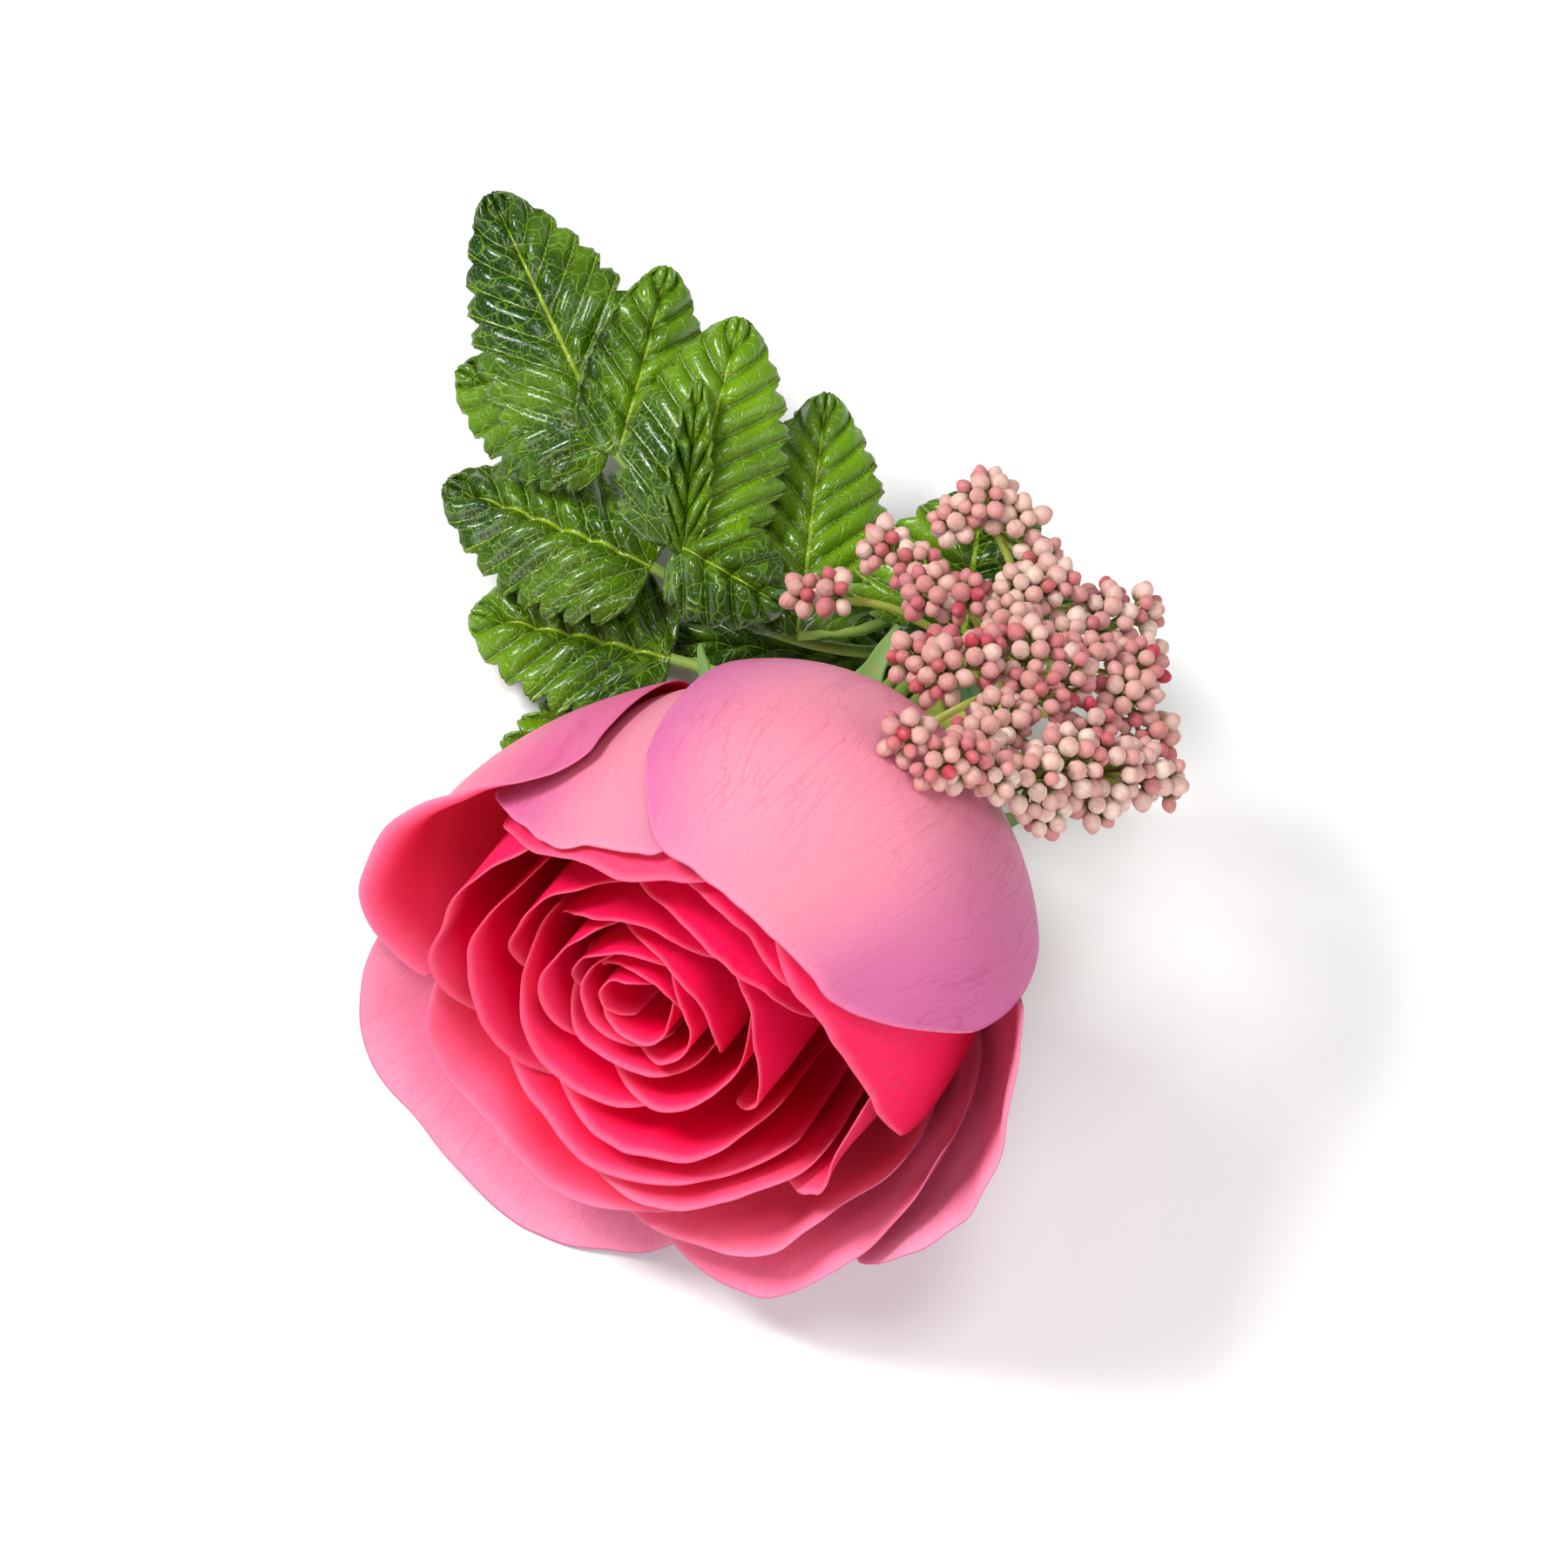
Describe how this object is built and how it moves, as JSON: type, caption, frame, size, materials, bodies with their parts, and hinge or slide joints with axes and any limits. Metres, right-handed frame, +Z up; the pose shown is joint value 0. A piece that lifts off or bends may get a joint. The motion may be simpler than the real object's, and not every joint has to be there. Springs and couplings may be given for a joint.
{
  "type": "cut rose",
  "caption": "Open cabbage rose on a short cut stem, bound with lobed glossy leaves and a spray of small round flower buds, lying on its side.",
  "frame": {"origin": "on the table, under the middle of the whole posy's bounding box", "axes": "+Z up from the table, +Y towards the tips of the leaves, with the open face of the bloom looking along -Y and upwards, +X to the side of the bud spray"},
  "size_m": [0.0976, 0.1446, 0.0807],
  "materials": {
    "petals": "soft satin petal, deep pink at the base and paler at the rim",
    "leaves": "glossy, puckered between the veins",
    "calyx": "satin",
    "rose_stem": "satin",
    "spray_stalk": "matt",
    "buds": "matt",
    "tape": "matt crepe"
  },
  "bodies": {
    "root": {"petal_guard_right": "petals", "petal_guard_top": "petals", "petal_guard_left": "petals", "petal_guard_lower_left": "petals", "petal_guard_lower_right": "petals", "petal_guard_bottom": "petals", "petal_wide_lower_left": "petals", "petal_wide_bottom": "petals", "petal_wide_right": "petals", "petal_wide_left": "petals", "petal_wide_top": "petals", "petal_mid_bottom": "petals", "petal_mid_right": "petals", "petal_mid_top": "petals", "petal_mid_lower_left": "petals", "petal_heart_01": "petals", "petal_heart_02": "petals", "petal_heart_03": "petals", "petal_heart_04": "petals", "petal_heart_05": "petals", "petal_heart_06": "petals", "petal_heart_07": "petals", "petal_heart_08": "petals", "petal_heart_09": "petals", "petal_heart_10": "petals", "petal_heart_11": "petals", "petal_heart_12": "petals", "petal_heart_13": "petals", "petal_heart_14": "petals", "petal_heart_15": "petals", "petal_heart_16": "petals", "petal_heart_17": "petals", "hip": "calyx", "sepal_1": "calyx", "sepal_2": "calyx", "sepal_3": "calyx", "sepal_4": "calyx", "sepal_5": "calyx", "binding": "tape", "rose_stem": "rose_stem", "leaf_upper": "leaves", "leaf_right": "leaves", "leaf_left": "leaves", "leaf_lower_left": "leaves", "leaf_low": "leaves", "leaf_shade": "leaves", "leaf_back": "leaves", "leaf_round": "leaves", "buds_01": "buds", "buds_02": "buds", "buds_03": "buds", "buds_04": "buds", "buds_05": "buds", "buds_06": "buds", "buds_07": "buds", "buds_08": "buds", "buds_09": "buds", "buds_10": "buds", "buds_11": "buds", "spray_stalk": "spray_stalk"}
  },
  "joints": []
}
